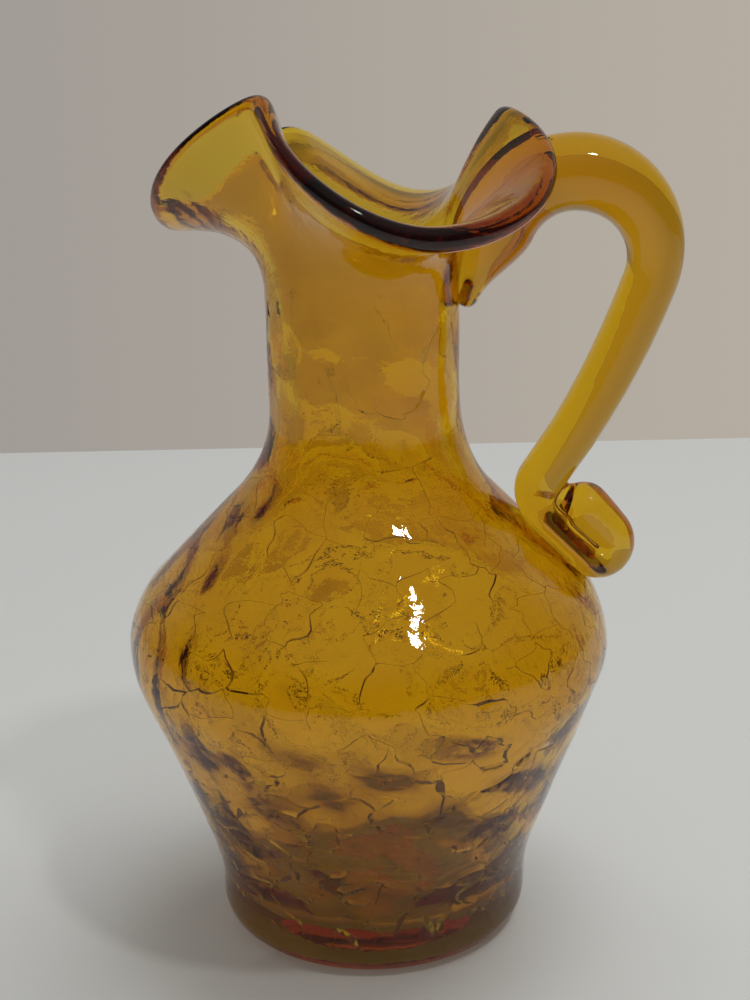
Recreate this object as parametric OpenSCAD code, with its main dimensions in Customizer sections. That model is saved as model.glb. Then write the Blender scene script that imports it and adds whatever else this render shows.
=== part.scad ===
// Small hand-blown crackle glass pitcher with a ruffled rim and an applied handle.
// Two pieces of glass: the blown vessel, and the handle gather fused to its neck and shoulder.
// Millimetres, +Z up, +X towards the handle. The origin is the middle of the flat base.

/* [Body] */
// Diameter of the base
base_d = 49; // [42:0.5:60]
// Height at which the side starts to lean out
foot_h = 11.4; // [8:0.1:16]
// Largest diameter of the body
belly_d = 74.8; // [62:0.1:90]
// Height of the largest diameter
belly_z = 47.5; // [42:0.5:58]
// Roundness of the shoulder edge
belly_round = 14; // [8:0.5:17]
// Roundness of the heel, where the base turns up
heel_round = 4.4; // [1.5:0.1:6]
// Roundness where the foot turns into the leaning side
foot_round = 36; // [10:1:60]

/* [Neck] */
// Outer diameter of the neck
neck_d = 29; // [24:0.5:35]
// Height at which the shoulder would meet the neck without a fillet
neck_z = 76.6; // [72:0.1:80]
// Fillet between shoulder and neck
neck_round = 20; // [10:1:24]
// Height at which the neck starts to flare
neck_top = 102; // [98:0.2:124]

/* [Glass] */
// Wall of the body and neck
wall = 2.2; // [1.6:0.1:3]
// Thickness of the bottom
base_t = 5.2; // [4:0.1:7]
// Roundness inside, between bottom and wall
floor_round = 6; // [3:0.5:9]
// Thickness of the fire-polished bead along the rim
rim_bead = 3.6; // [2.4:0.1:4]

/* [Ruffle] */
// Azimuth of the pinch beside the spout
spout_pinch_at = -140; // [-150:1:-130]
// Reach of that pinch beyond the neck
spout_pinch_reach = 3.5; // [2:0.5:6]
// Rise of that pinch above the neck top
spout_pinch_rise = 28; // [24:0.5:30]
// Azimuth of the front lobe
front_lobe_at = -68; // [-80:1:-55]
// Reach of the front lobe
front_lobe_reach = 15; // [12:0.5:17]
// Rise of the front lobe
front_lobe_rise = 12; // [9:0.5:15]
// Azimuth of the pinch above the handle
handle_pinch_at = 18; // [10:1:28]
// Reach of that pinch
handle_pinch_reach = 8.5; // [7:0.5:12]
// Rise of that pinch
handle_pinch_rise = 24; // [20:0.5:26]
// Azimuth of the back lobe
back_lobe_at = 70; // [60:1:80]
// Reach of the back lobe
back_lobe_reach = 15.5; // [12:0.5:17]
// Rise of the back lobe
back_lobe_rise = 9; // [7:0.5:13]
// Azimuth of the back pinch
back_pinch_at = 116; // [110:1:130]
// Reach of the back pinch
back_pinch_reach = 11; // [8:0.5:13]
// Rise of the back pinch
back_pinch_rise = 20; // [16:0.5:22]
// Azimuth of the spout
spout_at = 156; // [148:1:165]
// Reach of the spout
spout_reach = 15; // [12:0.5:17]
// Rise of the spout
spout_rise = 9.5; // [8:0.5:14]
// How quickly the rim reaches out beside a pinch
reach_sharpness = 2.4; // [1:0.1:3]
// How quickly the rim comes down beside a pinch
fall_sharpness = 1.1; // [0.8:0.1:2]
// Steepness of the flare at the lowest lobe, in degrees above level
lobe_tilt = -4; // [-10:1:10]
// Steepness of the flare at the highest pinch, in degrees above level
pinch_tilt = 62; // [45:1:70]

/* [Handle] */
// How far the arch's middle stands out from the neck
arch_out = 16.8; // [15:0.1:21]
// How far the arch's middle stands above the neck top
arch_up = 4.8; // [2:0.1:7]
// Radius of the arch, at the middle of the rod
arch_r = 12.2; // [10:0.5:14]
// How deep the pad's tip is pressed on the neck
pad_press = 0.6; // [0.3:0.1:1]
// How far the pad's tip hangs below the neck top
pad_drop = 1; // [0:0.5:3]
// Thickness of the rod over the arch
arch_t = 11.4; // [9:0.1:13]
// Thickness of the rod where the arch turns down
bend_t = 8.2; // [7:0.1:11]
// Thickness of the rod above the foot
rod_t = 7.3; // [6:0.1:9]
// Width of the rod, as a factor of its thickness
rod_width = 1.08; // [1:0.02:1.2]
// Thickness of the pad's tip
pad_t = 3.4; // [2:0.1:4.4]
// Width of the pad's tip
pad_w = 8; // [6:0.5:10]
// Radius of the rod's bow between the arch and the foot
rod_bow = 130; // [60:5:250]
// Where the rod lands, along the shoulder from the neck
land_at = 12.5; // [11:0.5:15]
// Length of the strap from there to its fold
strap_length = 13; // [11:0.5:16]
// Thickness of the strap
strap_t = 5; // [4:0.1:6]
// Width of the strap
strap_w = 10.5; // [8:0.5:12]
// Radius of the bend where the rod lands
land_round = 5; // [3:0.5:6]
// How deep the folded tail melts into the strap under it
fold_lap = 0.7; // [0.5:0.1:0.8]
// Width at the fold
fold_w = 6.8; // [5:0.2:9]
// Length of the straight tail behind the fold
tail_length = 6; // [4:0.5:8]
// Thickness of the tail
tail_t = 7.6; // [6:0.1:8]
// Thickness of the tail's tip
tip_t = 4.6; // [3:0.1:6]
// Radius on which the tail's tip bends down
tip_r = 3.5; // [2.5:0.5:6]
// Turn of the tail's tip, in degrees
tip_turn = 45; // [20:1:60]
// How deep the strap is pressed flat on the shoulder
strap_press = 0.6; // [0.3:0.1:1]

/* [Hidden] */

GLASS = "#B47A14";
ROUND_FN = 128;
CUT_FN = 180;
GATHER_FN = 24;
ARC_STEP = 6;
FLARE_COLUMNS = 96;
FLARE_ROWS = 10;
BEAD_STEPS = 6;
SEAM_INSET = 0.12;
SEAM_LAP = 0.5;
PRESS_LAP = 8;
RING_STEP = 2.4;
FLARE_LEAVE = 0.42;
FLARE_ARRIVE = 0.36;
BEAD_START = 0.55;
FILLET_SHARE = 0.9;
ARCH_EVEN = 0.4;
ROD_STEPS = 6;
CORE_R = 1;

// Pinches and lobes in turn round the rim: azimuth, reach beyond the neck, rise above its top.
RIM = [
  [spout_pinch_at, spout_pinch_reach, spout_pinch_rise],
  [front_lobe_at, front_lobe_reach, front_lobe_rise],
  [handle_pinch_at, handle_pinch_reach, handle_pinch_rise],
  [back_lobe_at, back_lobe_reach, back_lobe_rise],
  [back_pinch_at, back_pinch_reach, back_pinch_rise],
  [spout_at, spout_reach, spout_rise]
];
RIM_LOW = min([for (f = RIM) f[2]]);
RIM_HIGH = max([for (f = RIM) f[2]]);

BELLY_C = [belly_d / 2 - belly_round, belly_z];

function unit(v) = v / norm(v);
function bearing(v) = atan2(v[1], v[0]);
function turn(a, b) = (b - a + 540) % 360 - 180;

// Points of an arc about c, from angle a to angle b.
function arc(c, r, a, b) =
  let (n = ceil(abs(b - a) / ARC_STEP))
  [for (i = [0 : n]) c + r * [cos(a + (b - a) * i / n), sin(a + (b - a) * i / n)]];

// Points that round the corner between the ways to p and to q, by radius r where there is room.
function fillet(corner, p, q, r) =
  let (u = unit(p - corner), v = unit(q - corner), half = acos(u * v) / 2)
  let (room = FILLET_SHARE * min(norm(p - corner), norm(q - corner)), reach = min(r / tan(half), room))
  let (radius = reach * tan(half), c = corner + unit(u + v) * radius / sin(half))
  let (a = bearing(corner + u * reach - c), b = bearing(corner + v * reach - c))
  arc(c, radius, a, a + turn(a, b));

// Angle on the belly's arc at which a line from point p touches it.
function touch(p, r, side) = bearing(p - BELLY_C) + side * acos(r / norm(p - BELLY_C));

FOOT_CORNER = [base_d / 2, foot_h];
NECK_CORNER = [neck_d / 2, neck_z];
SIDE_LEAN = -touch(FOOT_CORNER, belly_round, 1);
SHOULDER_TURN = touch(NECK_CORNER, belly_round, -1);
SHOULDER_DIR = [sin(SHOULDER_TURN), -cos(SHOULDER_TURN)];
SHOULDER_OUT = [cos(SHOULDER_TURN), sin(SHOULDER_TURN)];

// Meridian of the vessel, moved inwards by inset, from the belly to the neck top.
function upper_side(inset) =
  let (neck = NECK_CORNER - inset * [1, tan(SHOULDER_TURN / 2)], r = belly_round - inset)
  concat(
    arc(BELLY_C, r, -SIDE_LEAN, SHOULDER_TURN),
    fillet(neck, BELLY_C + r * SHOULDER_OUT, [neck[0], neck_top], neck_round + inset),
    [[neck[0], neck_top]]
  );

// Lowest point of the belly's arc, moved inwards by inset.
function belly_low(inset) = BELLY_C + (belly_round - inset) * [cos(SIDE_LEAN), -sin(SIDE_LEAN)];

function outer_side() =
  let (heel = [base_d / 2, 0])
  concat(
    [[0, 0]],
    fillet(heel, [0, 0], FOOT_CORNER, heel_round),
    fillet(FOOT_CORNER, heel + [0, heel_round], belly_low(0), foot_round),
    upper_side(0)
  );

function inner_side() =
  let (low = belly_low(wall), corner = [low[0] - (low[1] - base_t) * tan(SIDE_LEAN), base_t])
  concat([[0, base_t]], fillet(corner, [0, base_t], low, floor_round), upper_side(wall));

function reversed(list) = [for (i = [len(list) - 1 : -1 : 0]) list[i]];

// Soft step from 0 to 1.
function soft(t) = t * t * (3 - 2 * t);

// Reach and rise of the rim at one azimuth. Even features are pinches, odd ones lobes, and the
// curve leaves a pinch faster than it leaves a lobe.
function rim_at(azimuth) =
  let (n = len(RIM), a = azimuth < RIM[0][0] ? azimuth + 360 : azimuth)
  let (i = max([for (k = [0 : n - 1]) if (RIM[k][0] <= a) k]))
  let (here = RIM[i], next = RIM[(i + 1) % n], end = next[0] + (i == n - 1 ? 360 : 0))
  let (t = (a - here[0]) / (end - here[0]), from_pinch = i % 2 == 0)
  let (pinch = from_pinch ? here : next, lobe = from_pinch ? next : here)
  let (rest = 1 - soft(from_pinch ? t : 1 - t))
  [
    pinch[1] + (lobe[1] - pinch[1]) * (1 - pow(rest, reach_sharpness)),
    pinch[2] + (lobe[2] - pinch[2]) * (1 - pow(rest, fall_sharpness))
  ];

// Point and direction on the flare's middle line, t from inside the neck's wall to the rim.
function flare_line(azimuth, t) =
  let (rim = rim_at(azimuth), p = [(neck_d - wall) / 2, neck_top - SEAM_LAP])
  let (q = [neck_d / 2 + rim[0], neck_top + rim[1]], span = norm(q - p))
  let (tilt = lobe_tilt + (pinch_tilt - lobe_tilt) * (rim[1] - RIM_LOW) / (RIM_HIGH - RIM_LOW))
  let (b = p + [0, FLARE_LEAVE * span], c = q - FLARE_ARRIVE * span * [cos(tilt), sin(tilt)])
  let (u = 1 - t)
  [
    u * u * u * p + 3 * u * u * t * b + 3 * u * t * t * c + t * t * t * q,
    unit(u * u * (b - p) + 2 * u * t * (c - b) + t * t * (q - c))
  ];

// Half thickness of the flare, which swells into the rim bead.
function flare_half(t) =
  let (s = max(0, (t - BEAD_START) / (1 - BEAD_START)))
  (t == 0 ? wall / 2 - SEAM_INSET : wall / 2) + (rim_bead - wall) / 2 * soft(s);

FLARE_STEPS = [for (j = [0 : FLARE_ROWS]) j / FLARE_ROWS];

// One flank of the flare at one azimuth, side 1 outside and -1 inside.
function flare_flank(azimuth, steps, side) =
  [for (t = steps) let (f = flare_line(azimuth, t)) f[0] + side * flare_half(t) * [f[1][1], -f[1][0]]];

// Round of the bead at one azimuth, from the outer flank to the inner one.
function bead_round(azimuth) =
  let (end = flare_line(azimuth, 1), along = bearing(end[1]))
  [for (k = [1 : BEAD_STEPS - 1]) let (a = along - 90 + 180 * k / BEAD_STEPS)
    end[0] + rim_bead / 2 * [cos(a), sin(a)]];

// Closed section of the flare at one azimuth: up outside, round the bead, down inside.
function flare_section(azimuth) = concat(
  flare_flank(azimuth, FLARE_STEPS, 1),
  bead_round(azimuth),
  flare_flank(azimuth, reversed(FLARE_STEPS), -1)
);

// Section of the neck's top and the flare with their mouth filled in.
function filled_section(azimuth) =
  let (inside = flare_flank(azimuth, [1], -1), low = neck_top - PRESS_LAP)
  concat(
    [[CORE_R, low], [neck_d / 2, low], [neck_d / 2, neck_top]],
    flare_flank(azimuth, [for (t = FLARE_STEPS) if (t > 0) t], 1),
    bead_round(azimuth),
    inside,
    [[CORE_R, inside[0][1]]]
  );

// A ring of closed sections as one solid.
module ring_of_sections(sections, azimuths) {
  rows = len(sections[0]);
  columns = len(sections);
  function at(i, j) = (i % columns) * rows + j % rows;
  points = [for (i = [0 : columns - 1]) for (s = sections[i])
    [s[0] * cos(azimuths[i]), s[0] * sin(azimuths[i]), s[1]]];
  faces = [for (i = [0 : columns - 1]) for (j = [0 : rows - 1])
    each [[at(i, j), at(i, j + 1), at(i + 1, j + 1)], [at(i, j), at(i + 1, j + 1), at(i + 1, j)]]];
  polyhedron(points, faces);
}

AZIMUTHS = [for (i = [0 : FLARE_COLUMNS - 1]) -180 + 360 * i / FLARE_COLUMNS];

module blown_wall() {
  rotate_extrude($fn = ROUND_FN) polygon(concat(outer_side(), reversed(inner_side())));
}

module vessel() {
  color(GLASS) {
    blown_wall();
    ring_of_sections([for (a = AZIMUTHS) flare_section(a)], AZIMUTHS);
  }
}

// Point in the handle's plane, along the shoulder from the neck and off its surface.
function on_shoulder(along, off) = NECK_CORNER + along * SHOULDER_DIR + off * SHOULDER_OUT;

ARCH_C = [neck_d / 2 + arch_out, neck_top + arch_up];
PAD_TIP = [neck_d / 2 + pad_t / 2 - pad_press, neck_top - pad_drop];
STRAP_OFF = strap_t / 2 - strap_press;
STRAP_END = land_at + strap_length;
LAND = on_shoulder(land_at, STRAP_OFF);

// The arch starts where the pad's line touches it, and turns into the bow of the rod that lands.
ARCH_START = 360 + bearing(PAD_TIP - ARCH_C) - acos(arch_r / norm(PAD_TIP - ARCH_C));
BOW_BACK = rod_bow - arch_r;
LAND_AWAY = norm(LAND - ARCH_C);
BOW_ALONG = (pow(rod_bow, 2) - pow(BOW_BACK, 2) - pow(LAND_AWAY, 2)) / (2 * BOW_BACK);
BOW_TURN = acos(BOW_ALONG / LAND_AWAY);
ARCH_END = bearing(LAND - ARCH_C) + BOW_TURN;
BOW_C = ARCH_C - BOW_BACK * [cos(ARCH_END), sin(ARCH_END)];

// The tail lies on the strap, so their thickness sets the fold, whose inside closes.
FOLD_R = (strap_t + tail_t) / 4 - fold_lap / 2;
FOLD_T = 2 * FOLD_R + fold_lap / 2;
FOLD_C = on_shoulder(STRAP_END, STRAP_OFF + FOLD_R);
TIP_C = on_shoulder(STRAP_END - tail_length, STRAP_OFF + 2 * FOLD_R - tip_r);

// The gather's middle line: over the arch, down to the shoulder, along it, and back.
ARCH = arc(ARCH_C, arch_r, ARCH_START, ARCH_END);
ROD_TURN = bearing(LAND - BOW_C) - ARCH_END;
ROD = [for (k = [1 : ROD_STEPS - 1]) let (a = ARCH_END + ROD_TURN * k / ROD_STEPS)
  BOW_C + rod_bow * [cos(a), sin(a)]];
LANDING = fillet(LAND, ROD[len(ROD) - 1], on_shoulder(STRAP_END, STRAP_OFF), land_round);
FOLD = arc(FOLD_C, FOLD_R, SHOULDER_TURN - 180, SHOULDER_TURN);
TIP = arc(TIP_C, tip_r, SHOULDER_TURN, SHOULDER_TURN + tip_turn);
LINE = concat([PAD_TIP], ARCH, ROD, LANDING, FOLD, TIP);

function run(k) = k == 0 ? 0 : run(k - 1) + norm(LINE[k] - LINE[k - 1]);
ALONG = [for (k = [0 : len(LINE) - 1]) run(k)];
X_ALONG = [for (k = [0 : len(LINE) - 1]) [ALONG[k], LINE[k][0]]];
Z_ALONG = [for (k = [0 : len(LINE) - 1]) [ALONG[k], LINE[k][1]]];

// Numbers of the points where a stretch of the line ends.
ARCH_ENDS = len(ARCH);
ROD_ENDS = ARCH_ENDS + len(ROD);
LANDING_ENDS = ROD_ENDS + len(LANDING);
FOLD_ENDS = LANDING_ENDS + len(FOLD);

// Where the gather's section is set: place on the line, thickness, width.
SECTIONS = [
  [0, pad_t, pad_w],
  [ALONG[1], arch_t, arch_t * rod_width],
  [ALONG[round(ARCH_ENDS * ARCH_EVEN)], arch_t, arch_t * rod_width],
  [ALONG[ARCH_ENDS], bend_t, bend_t * rod_width],
  [ALONG[ROD_ENDS + 1], rod_t, rod_t * rod_width],
  [ALONG[LANDING_ENDS], strap_t, strap_w],
  [ALONG[LANDING_ENDS + 1], strap_t, strap_w],
  [ALONG[LANDING_ENDS + round(len(FOLD) / 2)], FOLD_T, fold_w],
  [ALONG[FOLD_ENDS + 1], tail_t, tail_t * rod_width],
  [ALONG[len(LINE) - 1], tip_t, tip_t * rod_width]
];

// Thickness and width of the gather at length s along its line.
function section_at(s) =
  let (i = max([for (k = [0 : len(SECTIONS) - 2]) if (SECTIONS[k][0] <= s) k]))
  let (a = SECTIONS[i], b = SECTIONS[i + 1], t = soft((s - a[0]) / (b[0] - a[0])))
  [a[1] + (b[1] - a[1]) * t, a[2] + (b[2] - a[2]) * t];

// Rings evenly along the gather: x, z, thickness, width.
RING_STEPS = ceil(ALONG[len(LINE) - 1] / RING_STEP);
RINGS = [
  for (k = [0 : RING_STEPS]) let (s = ALONG[len(LINE) - 1] * k / RING_STEPS, section = section_at(s))
    [lookup(s, X_ALONG), lookup(s, Z_ALONG), section[0], section[1]]
];

// One bead of the handle's glass, wider than thick.
module bead(ring) {
  translate([ring[0], 0, ring[1]]) scale([1, ring[3] / ring[2], 1]) sphere(d = ring[2], $fn = GATHER_FN);
}

module gather() {
  for (i = [0 : len(RINGS) - 2]) hull() {
    bead(RINGS[i]);
    bead(RINGS[i + 1]);
  }
}

// The vessel's outside, which the hot handle was pressed against.
module pressed_face() {
  low = neck_top - PRESS_LAP / 2;
  rotate_extrude($fn = CUT_FN) polygon([for (p = concat(outer_side(), [[0, neck_top]])) [p[0], min(p[1], low)]]);
  ring_of_sections([for (a = AZIMUTHS) filled_section(a)], AZIMUTHS);
}

module handle() {
  color(GLASS) difference() {
    gather();
    pressed_face();
  }
}

vessel();
handle();
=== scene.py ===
"""A small amber crackle glass pitcher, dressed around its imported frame.

Two pieces of glass are built: the blown vessel with its crackled wall and ruffled rim, and the
handle gather pressed against it. Sizes are in millimetres and are turned into metres as each
mesh is made.
"""

import logging
import math
from collections.abc import Callable, Sequence
from dataclasses import dataclass, field
from enum import Enum

import bpy
import numpy as np
from mathutils import Matrix, Vector
from mathutils.bvhtree import BVHTree
from mathutils.geometry import delaunay_2d_cdt
from mathutils.kdtree import KDTree


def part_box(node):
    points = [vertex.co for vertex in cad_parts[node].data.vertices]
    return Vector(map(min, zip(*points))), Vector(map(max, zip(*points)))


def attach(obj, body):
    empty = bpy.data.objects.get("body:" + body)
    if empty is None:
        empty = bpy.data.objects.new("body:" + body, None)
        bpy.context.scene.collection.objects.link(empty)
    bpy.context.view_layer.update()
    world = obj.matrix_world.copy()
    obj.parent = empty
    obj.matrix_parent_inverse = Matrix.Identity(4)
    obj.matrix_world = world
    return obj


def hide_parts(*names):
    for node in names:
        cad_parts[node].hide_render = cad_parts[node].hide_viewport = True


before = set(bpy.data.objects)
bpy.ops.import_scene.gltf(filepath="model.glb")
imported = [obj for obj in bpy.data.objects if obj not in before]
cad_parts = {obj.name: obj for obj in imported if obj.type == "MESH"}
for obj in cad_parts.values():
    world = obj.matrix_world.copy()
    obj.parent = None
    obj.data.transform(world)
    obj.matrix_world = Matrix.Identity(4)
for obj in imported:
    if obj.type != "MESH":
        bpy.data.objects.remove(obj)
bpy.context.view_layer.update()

LOG = logging.getLogger("pitcher")
MM = 0.001
FULL_TURN = 2 * math.pi
# Name of the face attribute that marks the fractures, which the glass gives a paler colour as a
# painted glint.
FRACTURE = "fracture_painted_glint"
Array = np.ndarray


# ---------------------------------------------------------------- curves and noise


def unit(v: Array) -> Array:
    """Returns v at length one, row by row."""
    return v / np.linalg.norm(v, axis=-1, keepdims=True)


def smooth(t: Array | float) -> Array | float:
    """Returns the soft step of t, which is held between 0 and 1."""
    t = np.clip(t, 0.0, 1.0)
    return t * t * (3 - 2 * t)


def bearing(v: Array) -> float:
    """Returns the angle of v, in radians."""
    return math.atan2(v[1], v[0])


def arc(
    centre: Array, radius: float, start: float, end: float, step: float = math.radians(2)
) -> Array:
    """Samples a circular arc.

    Args:
        centre: The arc's centre.
        radius: Its radius.
        start: Angle of its first point, in radians.
        end: Angle of its last point.
        step: Largest angle between two points.

    Returns:
        The arc's points, one a row.
    """
    n = max(2, math.ceil(abs(end - start) / step))
    a = np.linspace(start, end, n + 1)
    return centre + radius * np.stack([np.cos(a), np.sin(a)], 1)


def fillet(corner: Array, before: Array, after: Array, radius: float) -> Array:
    """Rounds a corner between the ways to two points.

    Args:
        corner: The sharp corner.
        before: A point on the way in.
        after: A point on the way out.
        radius: Radius of the round.

    Returns:
        Points of the arc that replaces the corner.
    """
    u, v = unit(before - corner), unit(after - corner)
    half = math.acos(float(u @ v)) / 2
    reach = radius / math.tan(half)
    centre = corner + unit(u + v) * radius / math.sin(half)
    a, b = (bearing(corner + w * reach - centre) for w in (u, v))
    turn = (b - a + math.pi) % FULL_TURN - math.pi
    return arc(centre, radius, a, a + turn)


class Polyline:
    """A curve held as dense points, read by its length along."""

    def __init__(self, points: Array) -> None:
        """Measures the curve.

        Args:
            points: The curve's points, one a row.
        """
        keep = np.concatenate([[True], np.linalg.norm(np.diff(points, axis=0), axis=1) > 1e-6])
        self.points = points[keep]
        steps = np.linalg.norm(np.diff(self.points, axis=0), axis=1)
        self.along = np.concatenate([[0.0], np.cumsum(steps)])
        self.length = float(self.along[-1])

    def at(self, s: Array) -> Array:
        """Returns the points at lengths s."""
        return np.stack([np.interp(s, self.along, self.points[:, i]) for i in range(2)], -1)

    def normal(self, s: Array, reach: float = 0.35) -> Array:
        """Returns the right-hand normal at lengths s, measured over a short reach."""
        a = self.at(np.clip(s - reach, 0, self.length))
        b = self.at(np.clip(s + reach, 0, self.length))
        t = unit(b - a)
        return np.stack([t[..., 1], -t[..., 0]], -1)


class Ripple:
    """Smooth seeded noise in space, made of a few waves."""

    def __init__(self, seed: int, shortest: float, longest: float, waves: int = 14) -> None:
        """Draws the waves.

        Args:
            seed: Seed of the draw.
            shortest: Shortest wavelength in mm.
            longest: Longest wavelength in mm.
            waves: Number of waves.
        """
        rng = np.random.default_rng(seed)
        way = unit(rng.normal(size=(waves, 3)))
        length = rng.uniform(shortest, longest, size=(waves, 1))
        self.k = way * FULL_TURN / length
        self.phase = rng.uniform(0, FULL_TURN, waves)
        self.gain = math.sqrt(2 / waves)

    def __call__(self, p: Array) -> Array:
        """Returns the noise at points p, about one in strength."""
        return self.gain * np.sin(p @ self.k.T + self.phase).sum(-1)


# ---------------------------------------------------------------- the vessel's lines


@dataclass(frozen=True)
class Profile:
    """Meridian of the vessel, in mm, as the frame has it."""

    base_r: float = 24.5
    foot_h: float = 11.4
    belly_r: float = 37.4
    belly_z: float = 47.5
    belly_round: float = 14.0
    heel_round: float = 4.4
    foot_round: float = 36.0
    neck_r: float = 14.5
    neck_z: float = 76.6
    neck_round: float = 20.0
    neck_top: float = 102.0
    wall: float = 2.2
    base_t: float = 5.2
    floor_round: float = 6.0

    @property
    def belly_centre(self) -> Array:
        """Centre of the belly's arc."""
        return np.array([self.belly_r - self.belly_round, self.belly_z])

    def touch(self, corner: Array, side: int) -> float:
        """Returns the angle on the belly's arc at which a line from corner touches it."""
        d = corner - self.belly_centre
        return bearing(d) + side * math.acos(self.belly_round / float(np.linalg.norm(d)))

    @property
    def lean(self) -> float:
        """Lean of the side below the belly, in radians."""
        return -self.touch(np.array([self.base_r, self.foot_h]), 1)

    @property
    def turn(self) -> float:
        """Turn of the shoulder above the belly, in radians."""
        return self.touch(np.array([self.neck_r, self.neck_z]), -1)

    def belly_low(self, inset: float) -> Array:
        """Returns the lowest point of the belly's arc, moved inwards by inset."""
        r = self.belly_round - inset
        return self.belly_centre + r * np.array([math.cos(self.lean), -math.sin(self.lean)])

    def upper(self, inset: float) -> Array:
        """Returns the meridian from the belly to the neck top, moved inwards by inset."""
        r = self.belly_round - inset
        neck = np.array([self.neck_r - inset, self.neck_z - inset * math.tan(self.turn / 2)])
        high = self.belly_centre + r * np.array([math.cos(self.turn), math.sin(self.turn)])
        top = np.array([neck[0], self.neck_top])
        return np.concatenate(
            [
                arc(self.belly_centre, r, -self.lean, self.turn),
                fillet(neck, high, top, self.neck_round + inset),
                top[None],
            ]
        )

    def heel(self) -> Polyline:
        """Returns the outside from the base's edge up round the heel."""
        corner = np.array([self.base_r, 0.0])
        return Polyline(fillet(corner, np.zeros(2), corner + [0, self.foot_h], self.heel_round))

    def outside(self) -> Polyline:
        """Returns the outside from the heel's end to the neck top."""
        foot = np.array([self.base_r, self.foot_h])
        start = np.array([self.base_r, self.heel_round])
        side = fillet(foot, start, self.belly_low(0), self.foot_round)
        side = side[side[:, 1] > start[1]]
        return Polyline(np.concatenate([start[None], side, self.upper(0)]))

    def inside(self) -> Polyline:
        """Returns the inside from the middle of the floor to the neck top."""
        low = self.belly_low(self.wall)
        corner = np.array([low[0] - (low[1] - self.base_t) * math.tan(self.lean), self.base_t])
        middle = np.array([0.0, self.base_t])
        floor = fillet(corner, middle, low, self.floor_round)
        return Polyline(np.concatenate([middle[None], floor, self.upper(self.wall)]))


@dataclass(frozen=True)
class RimFeature:
    """A pinch or a lobe of the rim.

    It gives an azimuth in degrees, a reach beyond the neck, and a rise above the neck's top.
    """

    at: float
    reach: float
    rise: float


@dataclass(frozen=True)
class RuffleShape:
    """The rim's three pinches and the three lobes that follow them."""

    spout_pinch: RimFeature = RimFeature(-140, 3.5, 28)
    front_lobe: RimFeature = RimFeature(-68, 15, 12)
    handle_pinch: RimFeature = RimFeature(18, 8.5, 24)
    back_lobe: RimFeature = RimFeature(70, 15.5, 9)
    back_pinch: RimFeature = RimFeature(116, 11, 20)
    spout: RimFeature = RimFeature(156, 15, 9.5)
    reach_sharpness: float = 2.4
    fall_sharpness: float = 1.1

    @property
    def features(self) -> tuple[RimFeature, ...]:
        """Pinches and lobes in turn, round the rim."""
        return (
            self.spout_pinch,
            self.front_lobe,
            self.handle_pinch,
            self.back_lobe,
            self.back_pinch,
            self.spout,
        )

    def rim(self, azimuth: float) -> tuple[float, float]:
        """Returns reach and rise of the rim at one azimuth in degrees."""
        features = self.features
        a = azimuth if azimuth >= features[0].at else azimuth + 360
        i = max(k for k, f in enumerate(features) if f.at <= a)
        here, following = features[i], features[(i + 1) % len(features)]
        end = following.at + (360 if i == len(features) - 1 else 0)
        t = (a - here.at) / (end - here.at)
        pinch, lobe, away = (here, following, t) if i % 2 == 0 else (following, here, 1 - t)
        rest = 1 - float(smooth(away))
        reach = pinch.reach + (lobe.reach - pinch.reach) * (1 - rest**self.reach_sharpness)
        rise = pinch.rise + (lobe.rise - pinch.rise) * (1 - rest**self.fall_sharpness)
        return reach, rise


@dataclass(frozen=True)
class Ruffle:
    """The flare between the neck and the ruffled rim."""

    profile: Profile
    shape: RuffleShape = RuffleShape()
    bead: float = 3.6
    lobe_tilt: float = math.radians(-4)
    pinch_tilt: float = math.radians(62)
    leave: float = 0.42
    arrive: float = 0.36
    bead_start: float = 0.55

    def middle(self, azimuth: Array, t: float) -> tuple[Array, Array]:
        """Places the flare's middle line.

        Args:
            azimuth: Azimuths in degrees, from -180 to 180.
            t: Share of the way from the neck to the rim.

        Returns:
            Radius and height at each azimuth, and the way the line runs there.
        """
        p = self.profile
        rim = np.array([self.shape.rim(float(a)) for a in azimuth])
        rises = [f.rise for f in self.shape.features]
        start = np.array([p.neck_r - p.wall / 2, p.neck_top])
        end = np.array([p.neck_r, p.neck_top]) + rim
        span = np.linalg.norm(end - start, axis=1, keepdims=True)
        steep = (rim[:, 1:] - min(rises)) / (max(rises) - min(rises))
        tilt = self.lobe_tilt + (self.pinch_tilt - self.lobe_tilt) * steep
        b = start + np.array([0, self.leave]) * span
        c = end - self.arrive * span * np.concatenate([np.cos(tilt), np.sin(tilt)], 1)
        u = 1 - t
        at = u**3 * start + 3 * u * u * t * b + 3 * u * t * t * c + t**3 * end
        way = u * u * (b - start) + 2 * u * t * (c - b) + t * t * (end - c)
        return at, unit(way)

    def half(self, t: float) -> float:
        """Returns half the glass thickness at share t, which swells into the rim's bead."""
        s = smooth((t - self.bead_start) / (1 - self.bead_start))
        return (self.profile.wall + (self.bead - self.profile.wall) * s) / 2


# ---------------------------------------------------------------- crackle


class Spot(Enum):
    """What a point of the crackled skin is."""

    SKIN = "skin"
    LIP = "lip of a crack"
    ROOT = "root of a crack"


@dataclass
class SkinPoint:
    """A point of the skin, laid out flat: u round the vessel, v up it."""

    u: float
    v: float
    spot: Spot = Spot.SKIN
    depth: float = 0.0
    slant: tuple[float, float] = (0.0, 0.0)


@dataclass
class Crack:
    """One crack between two nodes of the network."""

    ends: tuple[int, int]
    shifts: tuple[int, int]
    line: Array
    depth: float
    slant: float
    corners: dict[tuple[int, int], tuple[int, int]] = field(default_factory=dict)


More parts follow.
